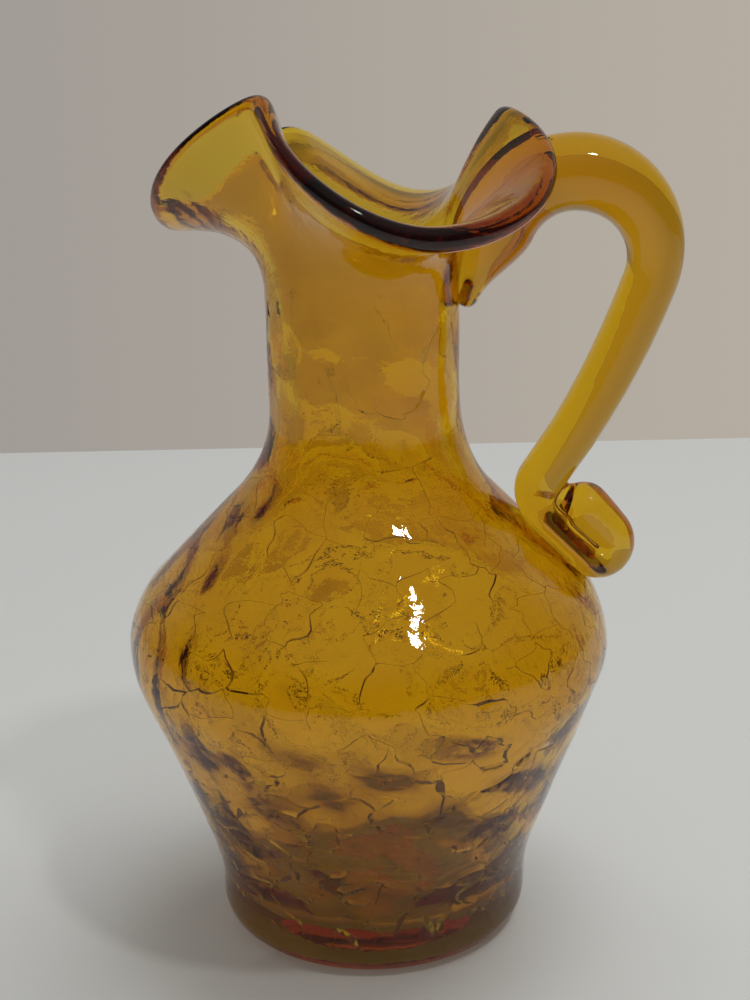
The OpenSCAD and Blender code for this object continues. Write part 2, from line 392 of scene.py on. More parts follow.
@dataclass(frozen=True)
class CracklePlan:
    """How the cracks are spread over the height.

    Each band gives z, width and height of a cell, share kept, depth of the deepest, and slant.
    """

    bands: Sequence[tuple[float, float, float, float, float, float]] = (
        (4, 7.5, 2.8, 0.75, 1.1, 1.0),
        (14, 9, 2.5, 0.9, 1.3, 1.2),
        (36, 9, 2.8, 0.9, 1.3, 1.1),
        (48, 7, 5.2, 0.8, 0.8, 0.6),
        (60, 7, 6.5, 0.72, 0.55, 0.35),
        (78, 7.5, 10, 0.6, 0.5, 0.35),
        (100, 9, 15, 0.4, 0.45, 0.3),
    )
    seed: int = 11
    jitter: float = 0.34
    segment: float = 0.85
    width: float = 0.04
    shallowest: float = 0.25
    level_below: float = 44.0
    lip_drop: float = 0.02
    shortest: float = 0.7
    wander: float = 1.2
    infill: float = 1.3
    clear: float = 0.5
    margin: float = 1.2
    columns: int = 288
    inset: float = 0.1
    level_kept: float = 1.1
    upright_lost: float = 0.75
    least_lean: float = 0.15
    lean_power: float = 1.2
    node_depth: float = 0.85
    node_slant: float = 0.8
    sharpest: float = 0.25
    corner_reach: float = 3.0
    sway_round: float = 0.55
    sway_up: float = 0.4
    still: float = 1.5
    still_fade: float = 4.0
    overlap: float = 16.0
    fill_rows: tuple[float, float, float] = (0.8, 0.6, 0.87)

    def band(self, z: Array | float) -> Array:
        """Returns a band's values, but for z, at heights z."""
        b = np.array(self.bands)
        return np.stack([np.interp(z, b[:, 0], column) for column in b[:, 1:].T], -1)


class CrackleNetwork:
    """The crackled outside between two level rings, as one triangulated skin."""

    def __init__(self, side: Polyline, plan: CracklePlan, relief: Callable[[Array], Array]) -> None:
        """Lays the network out flat.

        Args:
            side: Meridian that the skin follows.
            plan: How the cracks are spread.
            relief: Height of the skin above the meridian, from points in space.
        """
        self.side, self.plan, self.relief = side, plan, relief
        self.rng = np.random.default_rng(plan.seed)
        self.reference = float(side.points[:, 0].max())
        self.period = FULL_TURN * self.reference
        s = np.linspace(0, side.length, 1200)
        r = side.at(s)[:, 0]
        v = np.concatenate([[0], np.cumsum(np.diff(s) * self.reference / ((r[1:] + r[:-1]) / 2))])
        self.table = np.stack([s, v, r], 1)
        self.height = float(v[-1])
        self.points: list[SkinPoint] = []
        self.segments: list[tuple[int, int, int, int]] = []
        self.nodes: dict[tuple[int, ...], tuple[int, float]] = {}
        self.sway = [Ripple(plan.seed + i, 2.5 + i, 9) for i in range(4)]

    def s_of(self, v: Array) -> Array:
        """Returns length along the meridian at flat heights v."""
        return np.interp(v, self.table[:, 1], self.table[:, 0])

    def v_of(self, s: Array) -> Array:
        """Returns flat heights at lengths s along the meridian."""
        return np.interp(s, self.table[:, 0], self.table[:, 1])

    def scale(self, v: Array | float) -> Array | float:
        """Returns real size over flat size at flat heights v."""
        return np.interp(v, self.table[:, 1], self.table[:, 2]) / self.reference

    def place(self, u: Array, v: Array, depth: Array | float = 0.0) -> Array:
        """Returns points in space, each sunk by depth under the meridian's surface."""
        s = self.s_of(v)
        rz = self.side.at(s) - self.side.normal(s) * np.asarray(depth)[..., None]
        a = u / self.reference
        return np.stack([rz[..., 0] * np.cos(a), rz[..., 0] * np.sin(a), rz[..., 1]], -1)

    def warp(self, uv: Array) -> Array:
        """Returns flat points moved so that straight cracks wander."""
        p = self.place(uv[:, 0], uv[:, 1])
        plan, v = self.plan, uv[:, 1]
        k = plan.wander / self.scale(v)
        fade = smooth((v - plan.still) / plan.still_fade)
        fade = fade * smooth((self.height - plan.still - v) / plan.still_fade)
        du = (self.sway[0](p) + 0.5 * self.sway[1](p * 2)) * k * fade * plan.sway_round
        dv = (self.sway[2](p) + 0.5 * self.sway[3](p * 2)) * k * fade * plan.sway_up
        return uv + np.stack([du, dv], 1)

    def seeds(self) -> Array:
        """Returns the middle of every cell, in uneven rows round the vessel."""
        out, s = [], 0.4
        while s < self.side.length:
            z = float(self.side.at(np.array([s]))[0, 1])
            width, tall = self.plan.band(z)[:2]
            r = float(self.side.at(np.array([s]))[0, 0])
            n = max(5, round(FULL_TURN * r / width))
            shift = self.rng.uniform(0, 1)
            wobble = self.rng.uniform(-1, 1, n) * self.plan.jitter
            u = (np.arange(n) + shift + wobble) / n * self.period
            t = s + self.rng.uniform(-1, 1, n) * self.plan.jitter * tall
            v = self.v_of(np.clip(t, self.plan.inset, self.side.length - self.plan.inset))
            out.append(np.stack([u % self.period, v], 1))
            s += tall
        return np.concatenate(out)

    def cell(self, i: int, near: Array, owner: Array) -> list[tuple[float, float, int]]:
        """Cuts one cell out of the plane.

        Args:
            i: Number of the cell's seed.
            near: All seeds with their copies a turn away.
            owner: Number of the seed that each copy stands for.

        Returns:
            The cell's corners, each with the number of the seed across the side that it starts.
        """
        at = near[i]
        low, high = self.plan.margin, self.height - self.plan.margin
        half = self.period / 3
        poly = [
            (at[0] - half, low, -1),
            (at[0] + half, low, -3),
            (at[0] + half, high, -2),
            (at[0] - half, high, -3),
        ]
        away = np.linalg.norm(near - at, axis=1)
        for j in np.argsort(away)[1:]:
            if away[j] / 2 > max(math.hypot(x - at[0], y - at[1]) for x, y, _ in poly):
                break
            middle, way = (near[j] + at) / 2, near[j] - at
            side = [(x - middle[0]) * way[0] + (y - middle[1]) * way[1] for x, y, _ in poly]
            cut: list[tuple[float, float, int]] = []
            for k, (x, y, name) in enumerate(poly):
                m = (k + 1) % len(poly)
                if side[k] <= 0:
                    cut.append((x, y, name))
                if (side[k] <= 0) != (side[m] <= 0):
                    t = side[k] / (side[k] - side[m])
                    new = (x + (poly[m][0] - x) * t, y + (poly[m][1] - y) * t)
                    cut.append((*new, int(owner[j]) if side[k] <= 0 else name))
            poly = cut
            if len(poly) < 3:
                break
        return poly

    def add(self, u: float, v: float, **rest: object) -> tuple[int, int]:
        """Adds a point and returns its number and how many turns round it was given."""
        turns = math.floor(u / self.period)
        self.points.append(SkinPoint(u - turns * self.period, v, **rest))
        return len(self.points) - 1, turns

    def node(self, key: tuple[int, ...], u: float, v: float) -> tuple[int, int]:
        """Returns the number and turns of the node that lies between the cells in key."""
        if key not in self.nodes:
            number, turns = self.add(u, v, spot=Spot.ROOT)
            self.nodes[key] = (number, u - turns * self.period)
        number, home = self.nodes[key]
        return number, round((u - home) / self.period)

    def find_cracks(self) -> list[Crack]:
        """Returns the cracks that are kept, as wandering lines between nodes."""
        seeds = self.seeds()
        n = len(seeds)
        turn = np.array([self.period, 0])
        near = np.concatenate([seeds, seeds - turn, seeds + turn])
        owner = np.tile(np.arange(n), 3)
        cracks = []
        for i in range(n):
            poly = self.cell(i, near, owner)
            for k, (x, y, name) in enumerate(poly):
                following = poly[(k + 1) % len(poly)]
                if name <= i or len(poly) < 3:
                    continue
                keys = [
                    tuple(sorted((i, poly[k - 1][2], name))),
                    tuple(sorted((i, name, following[2]))),
                ]
                crack = self.crack(keys, np.array([[x, y], following[:2]]))
                if crack is not None:
                    cracks.append(crack)
        return cracks

    def crack(self, keys: Sequence[tuple[int, ...]], ends: Array) -> Crack | None:
        """Draws one crack, or leaves the glass whole there.

        Args:
            keys: The cells that meet at each end.
            ends: The straight crack's two ends.

        Returns:
            The crack, or None where the glass stayed whole.
        """
        plan = self.plan
        chance, depth, slant = self.rng.uniform(size=3)
        middle = ends.mean(0)
        z = float(self.side.at(self.s_of(middle[1:]))[0, 1])
        kept, deepest, most_slant = plan.band(z)[2:]
        way = unit(ends[1] - ends[0])
        upright = abs(float(way[1]))
        if z < plan.level_below:
            kept *= plan.level_kept - plan.upright_lost * upright
        real = float(np.linalg.norm(ends[1] - ends[0]) * self.scale(middle[1]))
        if chance > kept or real < plan.shortest:
            return None
        n = max(2, math.ceil(real / plan.segment))
        line = self.warp(ends[0] + np.linspace(0, 1, n + 1)[:, None] * (ends[1] - ends[0]))
        found = [self.node(key, *p) for key, p in zip(keys, (line[0], line[-1]))]
        tilt = plan.least_lean + abs(2 * slant - 1) ** plan.lean_power
        lean = math.copysign(tilt, slant - 0.5) * most_slant
        size = deepest * (plan.shallowest + (1 - plan.shallowest) * depth)
        return Crack((found[0][0], found[1][0]), (found[0][1], found[1][1]), line, size, lean)

    def open_nodes(self, cracks: Sequence[Crack]) -> None:
        """Gives each node its depth and the corners between the cracks that meet there."""
        meet: dict[int, list[tuple[float, int, int]]] = {}
        for c, crack in enumerate(cracks):
            for end in (0, 1):
                line = crack.line if end == 0 else crack.line[::-1]
                d = line[1] - line[0]
                meet.setdefault(crack.ends[end], []).append((math.atan2(d[1], d[0]), c, end))
        for number, ways in meet.items():
            here = self.points[number]
            if len(ways) == 1:
                _, c, end = ways[0]
                cracks[c].corners[(end, 0)] = cracks[c].corners[(end, 1)] = (number, 0)
                here.spot = Spot.LIP
                continue
            ways.sort()
            mean = float(np.mean([cracks[c].depth for _, c, _ in ways]))
            here.depth = self.plan.node_depth * mean
            lean = [
                cracks[c].slant * (1 - 2 * end) * np.array([-math.sin(a), math.cos(a)])
                for a, c, end in ways
            ]
            here.slant = tuple(np.mean(lean, axis=0) * self.plan.node_slant)
            half = self.plan.width / 2 / self.scale(here.v)
            for k, (a, c, end) in enumerate(ways):
                b, d, other = ways[(k + 1) % len(ways)]
                gap = (b - a) % FULL_TURN or FULL_TURN
                sine = max(math.sin(gap / 2), self.plan.sharpest)
                reach = min(half / sine, self.plan.corner_reach * half)
                u = here.u + reach * math.cos(a + gap / 2)
                v = here.v + reach * math.sin(a + gap / 2)
                corner = self.add(u, v, spot=Spot.LIP)
                cracks[c].corners[(end, 1)] = corner
                cracks[d].corners[(other, 0)] = corner

    def chain(self, chain: Sequence[tuple[int, int]]) -> None:
        """Ties a row of points together with segments that the triangles keep to."""
        for (a, i), (b, j) in zip(chain, chain[1:]):
            self.segments.append((a, i, b, j))

    def lay(self, crack: Crack) -> None:
        """Lays one crack's root and two lips."""
        line, n = crack.line, len(crack.line) - 1
        way = unit(np.gradient(line, axis=0))
        across = np.stack([-way[:, 1], way[:, 0]], 1)
        half = self.plan.width / 2 / self.scale(line[:, 1])
        ends = [self.points[k] for k in crack.ends]
        root, left, right = [], [], []
        for i in range(1, n):
            t = i / n
            near, far = smooth(3 * t), smooth(3 * (1 - t))
            depth = crack.depth * near * far
            depth = depth + ends[0].depth * (1 - near) + ends[1].depth * (1 - far)
            lean = crack.slant * across[i] * near * far
            lean = lean + np.array(ends[0].slant) * (1 - near) + np.array(ends[1].slant) * (1 - far)
            root.append(self.add(*line[i], spot=Spot.ROOT, depth=depth, slant=tuple(lean)))
            left.append(self.add(*(line[i] + across[i] * half[i]), spot=Spot.LIP))
            right.append(self.add(*(line[i] - across[i] * half[i]), spot=Spot.LIP))
        start, stop = zip(crack.ends, crack.shifts)
        tips = {}
        for end, side in ((0, 1), (0, 0), (1, 0), (1, 1)):
            number, turns = crack.corners[(end, side)]
            tips[(end, side)] = (number, turns + crack.shifts[end])
        self.chain([start, *root, stop])
        self.chain([tips[(0, 1)], *left, tips[(1, 0)]])
        self.chain([tips[(0, 0)], *right, tips[(1, 1)]])

    def fill(self) -> None:
        """Strews plain points between the cracks, and rings the skin's two ends."""
        plan = self.plan
        tree = KDTree(3 * len(self.points))
        for i, p in enumerate(self.points):
            for turns in (-1, 0, 1):
                tree.insert((p.u + turns * self.period, p.v, 0), i)
        tree.balance()
        first, last, step = (plan.infill * share for share in plan.fill_rows)
        for s in np.arange(first, self.side.length - last, step):
            r = float(self.side.at(np.array([s]))[0, 0])
            n = round(FULL_TURN * r / plan.infill)
            wobble = self.rng.uniform(-0.22, 0.22, (n, 2))
            shift = self.rng.uniform(0, 1)
            for k in range(n):
                u = (k + shift + wobble[k, 0]) / n * self.period % self.period
                v = float(self.v_of(s + wobble[k, 1] * plan.infill))
                _, _, away = tree.find((u, v, 0))
                if away * self.scale(v) > plan.clear:
                    self.add(u, v)
        self.rings = []
        for v in (0.0, self.height):
            ring = [self.add(k / plan.columns * self.period, v) for k in range(plan.columns)]
            self.rings.append([number for number, _ in ring])
            self.chain([*ring, (ring[0][0], 1)])

    def triangles(self) -> Array:
        """Returns the skin's triangles, closed round the vessel."""
        reach = self.plan.overlap
        index: dict[tuple[int, int], int] = {}
        flat, owner = [], []
        for i, p in enumerate(self.points):
            for turns in (-1, 0, 1):
                u = p.u + turns * self.period
                if -reach <= u <= self.period + reach:
                    index[(i, turns)] = len(flat)
                    flat.append(Vector((u, p.v)))
                    owner.append(i)
        ties = []
        for a, i, b, j in self.segments:
            for turns in (-2, -1, 0, 1, 2):
                pair = (index.get((a, i + turns)), index.get((b, j + turns)))
                if None not in pair and pair[0] != pair[1]:
                    ties.append(pair)
        at, _, faces, origin, _, _ = delaunay_2d_cdt(flat, ties, [], 0, 1e-9)
        number = []
        extra: dict[tuple[float, float], int] = {}
        for p, first in zip(at, origin):
            if first:
                number.append(owner[first[0]])
                continue
            key = (round(p[0] % self.period, 4), round(p[1], 4))
            if key not in extra:
                extra[key] = self.add(*key, spot=Spot.LIP)[0]
            number.append(extra[key])
        LOG.info("crackle: %d points, %d crossings", len(self.points), len(extra))
        out = {}
        for face in faces:
            if 0 <= sum(at[k][0] for k in face) / 3 < self.period:
                corners = tuple(number[k] for k in face)
                if len(set(corners)) == 3:
                    out[frozenset(corners)] = corners
        return np.array(list(out.values()))

    def build(self) -> tuple[Array, Array, Array]:
        """Builds the skin.

        Returns:
            Its points in space, in mm, its triangles, and which of them are fractures.
        """
        cracks = self.find_cracks()
        self.open_nodes(cracks)
        for crack in cracks:
            self.lay(crack)
        self.fill()
        faces = self.triangles()
        u = np.array([p.u for p in self.points])
        v = np.array([p.v for p in self.points])
        depth = np.array([p.depth for p in self.points])
        slant = np.array([p.slant for p in self.points])
        lip = np.array([p.spot is not Spot.SKIN for p in self.points])
        k = self.scale(v)
        skin = self.place(u, v)
        fade = smooth(self.s_of(v) / 4) * smooth((self.side.length - self.s_of(v)) / 4)
        height = self.relief(skin) * fade - self.plan.lip_drop * lip * fade
        v2 = np.clip(v + slant[:, 1] * depth / k, 0, self.height)
        points = self.place(u + slant[:, 0] * depth / k, v2, depth - height)
        return points, faces, depth[faces].max(1) > 0


# ---------------------------------------------------------------- mesh assembly


class Shell:
    """A mesh put together from rings of points and loose triangles, in mm."""

    def __init__(self) -> None:
        """Starts with nothing."""
        self.points: list[Array] = []
        self.faces: list[tuple[int, ...]] = []
        self.fractures: set[int] = set()
        self.count = 0

    def add(self, points: Array) -> list[int]:
        """Adds points and returns their numbers."""
        first = self.count
        self.points.append(points)
        self.count += len(points)
        return list(range(first, self.count))

    def bridge(self, low: Sequence[int], high: Sequence[int]) -> None:
        """Joins two rings of as many points by quads that face outwards when high is above."""
        n = len(low)
        for i in range(n):
            j = (i + 1) % n
            self.faces.append((low[i], low[j], high[j], high[i]))

    def close(self, ring: Sequence[int], middle: Array, up: bool) -> None:
        """Closes a ring with a fan about one middle point, facing up or down."""
        hub = self.add(middle[None])[0]
        n = len(ring)
        for i in range(n):
            a, b = ring[i], ring[(i + 1) % n]
            self.faces.append((a, b, hub) if up else (b, a, hub))

    def mesh(self, name: str, sharp: float) -> bpy.types.Mesh:
        """Turns the shell into a Blender mesh, in metres.

        Args:
            name: The mesh's name.
            sharp: Angle above which an edge stays sharp, in degrees.

        Returns:
            The mesh, smooth but for its sharp edges.
        """
        mesh = bpy.data.meshes.new(name)
        mesh.from_pydata(np.concatenate(self.points) * MM, [], self.faces)
        if self.fractures:
            marks = mesh.attributes.new(FRACTURE, "FLOAT", "FACE")
            broken = [float(i in self.fractures) for i in range(len(self.faces))]
            marks.data.foreach_set("value", broken)
        mesh.validate()
        mesh.shade_smooth()
        mesh.set_sharp_from_angle(angle=math.radians(sharp))
        return mesh


def place_object(name: str, mesh: bpy.types.Mesh) -> bpy.types.Object:
    """Puts a mesh into the scene as an object at the origin."""
    piece = bpy.data.objects.new(name, mesh)
    bpy.context.scene.collection.objects.link(piece)
    return piece


def loose_edges(mesh: bpy.types.Mesh) -> int:
    """Returns how many edges don't have just two faces."""
    pairs = np.sort(np.array([e for p in mesh.polygons for e in p.edge_keys]), axis=1)
    _, counts = np.unique(pairs, axis=0, return_counts=True)
    return int((counts != 2).sum())


# ---------------------------------------------------------------- finishes


class Value:
    """A number or vector on a node's socket, which takes part in sums."""

    def __init__(self, bench: "Bench", socket: bpy.types.NodeSocket) -> None:
        """Holds the socket and the bench it is on."""
        self.bench, self.socket = bench, socket

    def _math(self, operation: str, *values: "Value | float") -> "Value":
        """Adds a Math node and returns its result."""
        settings = {"operation": operation}
        return self.bench.add("ShaderNodeMath", settings, dict(enumerate(values)))

    def __add__(self, other: "Value | float") -> "Value":
        """Returns the sum."""
        return self._math("ADD", self, other)

    def __sub__(self, other: "Value | float") -> "Value":
        """Returns the difference."""
        return self._math("SUBTRACT", self, other)

    def __rsub__(self, other: "Value | float") -> "Value":
        """Returns the difference the other way round."""
        return self._math("SUBTRACT", other, self)

    def __mul__(self, other: "Value | float") -> "Value":
        """Returns the product."""
        return self._math("MULTIPLY", self, other)

    def __lt__(self, other: "Value | float") -> "Value":
        """Returns one where this is less, and nought elsewhere."""
        return self._math("LESS_THAN", self, other)

    __radd__ = __add__
    __rmul__ = __mul__


class Bench:
    """A material's node tree while it is being put together."""

    def __init__(self, tree: bpy.types.NodeTree) -> None:
        """Clears the tree."""
        self.tree = tree
        tree.nodes.clear()

    def node(self, kind: str, settings: dict, inputs: dict) -> bpy.types.Node:
        """Adds a node.

        Args:
            kind: The node's type.
            settings: Its properties, and its ramp's stops under the name stops.
            inputs: Values or links of its sockets, by name or number.

        Returns:
            The node.
        """
        node = self.tree.nodes.new(kind)
        stops = settings.pop("stops", None)
        for name, value in settings.items():
            setattr(node, name, value)
        if stops:
            ramp = node.color_ramp
            while len(ramp.elements) < len(stops):
                ramp.elements.new(1.0)
            for element, (at, colour) in zip(ramp.elements, stops):
                element.position, element.color = at, colour
        for name, value in inputs.items():
            if isinstance(value, Value):
                self.tree.links.new(value.socket, node.inputs[name])
            else:
                node.inputs[name].default_value = value
        return node

    def add(self, kind: str, settings: dict, inputs: dict, output: int | str = 0) -> Value:
        """Adds a node and returns one of its outputs."""
        return Value(self, self.node(kind, settings, inputs).outputs[output])


@dataclass(frozen=True)
class AmberGlass:
    """Clear amber glass: part of its colour is at the skin, and part deepens with thickness.

    Faces marked as fractures can take a paler colour, which is a painted glint, and a roughness of
    their own.
    """

    name: str
    skin: tuple[float, float, float] = (0.93, 0.71, 0.04)
    tint: tuple[float, float, float] = (0.84, 0.6, 0.0)
    density: float = 170.0
    ior: float = 1.5
    ripple_size: float = 0.009
    ripple: float = 0.25
    grain_size: float = 0.0016
    grain: float = 0.05
    smear: float = 0.05
    specular: float = 0.35
    # Paler colour of the fracture faces: a painted glint, not a colour the glass itself has.
    fracture_painted_glint: tuple[float, float, float] | None = None
    fracture_rough: float = 0.35

    def build(self) -> bpy.types.Material:
        """Returns the material."""
        material = bpy.data.materials.new(self.name)
        material.use_nodes = True
        bench = Bench(material.node_tree)
        place = bench.add("ShaderNodeTexCoord", {}, {}, "Object")
        wave = bench.add(
            "ShaderNodeTexNoise",
            {},
            {"Vector": place, "Scale": 1 / self.ripple_size, "Detail": 2.0},
            "Fac",
        )
        grain = bench.add(
            "ShaderNodeTexNoise",
            {},
            {"Vector": place, "Scale": 1 / self.grain_size, "Detail": 3.0},
            "Fac",
        )
        normal = bench.add(
            "ShaderNodeBump",
            {},
            {"Strength": 1.0, "Distance": MM, "Height": wave * self.ripple + grain * self.grain},
            "Normal",
        )
        smear = bench.add(
            "ShaderNodeMapRange",
            {"interpolation_type": "SMOOTHSTEP"},
            {"Value": wave, "From Min": 0.52, "From Max": 0.8, "To Min": 0.0, "To Max": self.smear},
        )
        colour: Value | tuple[float, ...] = (*self.skin, 1.0)
        # The fracture faces get a paler colour as a painted glint, and a real rise in roughness.
        if self.fracture_painted_glint is not None:
            broken = bench.add("ShaderNodeAttribute", {"attribute_name": FRACTURE}, {}, "Fac")
            mix = {0: broken, 6: colour, 7: (*self.fracture_painted_glint, 1.0)}
            colour = bench.add("ShaderNodeMix", {"data_type": "RGBA"}, mix, 2)
            smear = smear + broken * self.fracture_rough
        glass = bench.add(
            "ShaderNodeBsdfPrincipled",
            {},
            {
                "Base Color": colour,
                "Roughness": smear,
                "Specular IOR Level": self.specular,
                "IOR": self.ior,
                "Transmission Weight": 1.0,
                "Normal": normal,
            },
        )
        body = bench.add(
            "ShaderNodeVolumeAbsorption", {}, {"Color": (*self.tint, 1.0), "Density": self.density}
        )
        bench.node("ShaderNodeOutputMaterial", {}, {"Surface": glass, "Volume": body})
        return material


# ---------------------------------------------------------------- the vessel


@dataclass
class Vessel:
    """The blown vessel: base, body, neck and ruffled rim in one wall of glass."""

    profile: Profile
    ruffle: Ruffle
    crackle: CracklePlan
    finish: AmberGlass
    outer_relief: float = 0.1
    inner_relief: float = 0.22
    flare_rows: int = 26
    bead_steps: int = 10
    inner_step: float = 1.1
    low_extra: float = 1.2
    low_top: float = 44.0
    low_fade: float = 22.0
    floor_gap: float = 1.5
    top_fade: float = 8.0
    floor_fade: float = 12.0
    heel_rows: int = 9
    base_rings: tuple[float, float] = (1.2, 5.0)
    pontil_r: float = 9.0
    pontil_depth: float = 0.7
    pontil_lip: float = 0.5
    pontil_curve: float = 0.8
    pontil_span: tuple[float, float] = (0.05, 1.35)
    pontil_rows: int = 7
    sharp: float = 42.0
    body: str = "root"
    slot: str = "amber_crackle_glass"

    def __post_init__(self) -> None:
        """Draws the uneven skin that blowing leaves."""
        self.columns = self.crackle.columns
        self.azimuth = np.arange(self.columns) / self.columns * FULL_TURN
        self.outer_wave = Ripple(3, 11, 24)
        self.inner_wave = Ripple(4, 6, 15)

    def ring(self, r: Array | float, z: Array | float) -> Array:
        """Returns a ring of points at radius r and height z."""
        r, z = r + 0 * self.azimuth, z + 0 * self.azimuth
        return np.stack([r * np.cos(self.azimuth), r * np.sin(self.azimuth), z], 1)

    def skin(self) -> CrackleNetwork:
        """Returns the crackled outside."""
        return CrackleNetwork(
            self.profile.outside(), self.crackle, lambda p: self.outer_relief * self.outer_wave(p)
        )

    def flare_ring(self, t: float, offset: float) -> Array:
        """Returns one ring of the flare, offset from its middle line along its normal."""
        degrees = (np.degrees(self.azimuth) + 180) % 360 - 180
        at, way = self.ruffle.middle(degrees, t)
        rz = at + offset * np.stack([way[:, 1], -way[:, 0]], 1)
        return self.ring(rz[:, 0], rz[:, 1])

    def bead_ring(self, share: float) -> Array:
        """Returns one ring round the rim's bead, share 0 outside and 1 inside."""
        degrees = (np.degrees(self.azimuth) + 180) % 360 - 180
        at, way = self.ruffle.middle(degrees, 1.0)
        turn = np.arctan2(way[:, 1], way[:, 0]) - math.pi / 2 + math.pi * share
        rz = at + self.ruffle.bead / 2 * np.stack([np.cos(turn), np.sin(turn)], 1)
        return self.ring(rz[:, 0], rz[:, 1])

    def add_flare(self, shell: Shell, ring: list[int]) -> list[int]:
        """Adds the flare from a ring at the neck's outside to one at its inside.

        Args:
            shell: The mesh in the making.
            ring: The neck top's outer ring.

        Returns:
            The neck top's inner ring.
        """
        rows = [k / self.flare_rows for k in range(1, self.flare_rows + 1)]
        rings = [self.flare_ring(t, self.ruffle.half(t)) for t in rows]
        rings += [self.bead_ring(k / self.bead_steps) for k in range(1, self.bead_steps)]
        rings += [self.flare_ring(t, -self.ruffle.half(t)) for t in [*rows[::-1], 0.0]]
        for points in rings:
            following = shell.add(points)
            shell.bridge(ring, following)
            ring = following
        return ring

    def add_inside(self, shell: Shell, ring: list[int]) -> None:
        """Adds the inside from the neck top's inner ring down to the floor."""
        side = self.profile.inside()
        steps = np.arange(side.length - self.inner_step, self.floor_gap, -self.inner_step)
        for s in steps:
            r, z = side.at(np.array([s]))[0]
            n = side.normal(np.array([s]))[0]
            skin = self.ring(r, z)
            fade = smooth((side.length - s) / self.top_fade) * smooth(s / self.floor_fade)
            height = self.inner_relief * self.inner_wave(skin) * fade
            low = self.low_extra * smooth(1 - z / self.low_top)
            height = height - low * smooth(s / self.low_fade)
            following = shell.add(self.ring(r + n[0] * height, z + n[1] * height))
            shell.bridge(ring, following)
            ring = following
        shell.close(ring, np.array([0, 0, self.profile.base_t]), up=True)

    def add_base(self, shell: Shell, ring: list[int]) -> None:
        """Adds the heel and the flat base with its ground pontil."""
        heel = self.profile.heel()
        steps = np.linspace(heel.length, 0, self.heel_rows)[1:]
        rows = [tuple(heel.at(np.array([s]))[0]) for s in steps]
        rim = rows[-1][0]
        rows += [(rim - inward, 0.0) for inward in self.base_rings]
        rows.append((self.pontil_r + self.pontil_lip, 0.0))
        rows += [
            (self.pontil_r * math.cos(a), self.pontil_depth * math.sin(a) ** self.pontil_curve)
            for a in np.linspace(*self.pontil_span, self.pontil_rows)
        ]
        for r, z in rows:
            following = shell.add(self.ring(r, z))
            shell.bridge(following, ring)
            ring = following
        shell.close(ring, np.array([0, 0, self.pontil_depth]), up=False)

    def build(self) -> bpy.types.Object:
        """Builds and dresses the vessel."""
        skin = self.skin()
        points, faces, broken = skin.build()
        shell = Shell()
        shell.add(points)
        shell.fractures = {int(i) for i in np.flatnonzero(broken)}
        shell.faces += [tuple(int(k) for k in face) for face in faces]
        low, high = skin.rings
        self.add_base(shell, low)
        self.add_inside(shell, self.add_flare(shell, high))
        mesh = shell.mesh("vessel_glass", self.sharp)
        LOG.info("vessel: %d faces, %d loose edges", len(mesh.polygons), loose_edges(mesh))
        piece = place_object("vessel_glass", mesh)
        mesh.materials.append(self.finish.build())
        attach(piece, self.body)
        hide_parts("vessel")
        return piece

    def outer_tree(self) -> BVHTree:
        """Returns the vessel's smooth outside, for the handle to be pressed against."""
        side = self.profile.outside()
        shell = Shell()
        rings = [self.ring(*side.at(np.array([s]))[0]) for s in np.arange(0, side.length, 1.0)]
        rings.append(self.ring(self.profile.neck_r, self.profile.neck_top))
        rows = [k / self.flare_rows for k in range(1, self.flare_rows + 1)]
        rings += [self.flare_ring(t, self.ruffle.half(t)) for t in rows]
        ring = shell.add(rings[0])
        for points in rings[1:]:
            following = shell.add(points)
            shell.bridge(ring, following)
            ring = following
        return BVHTree.FromPolygons([Vector(p) for p in np.concatenate(shell.points)], shell.faces)


# ---------------------------------------------------------------- the handle


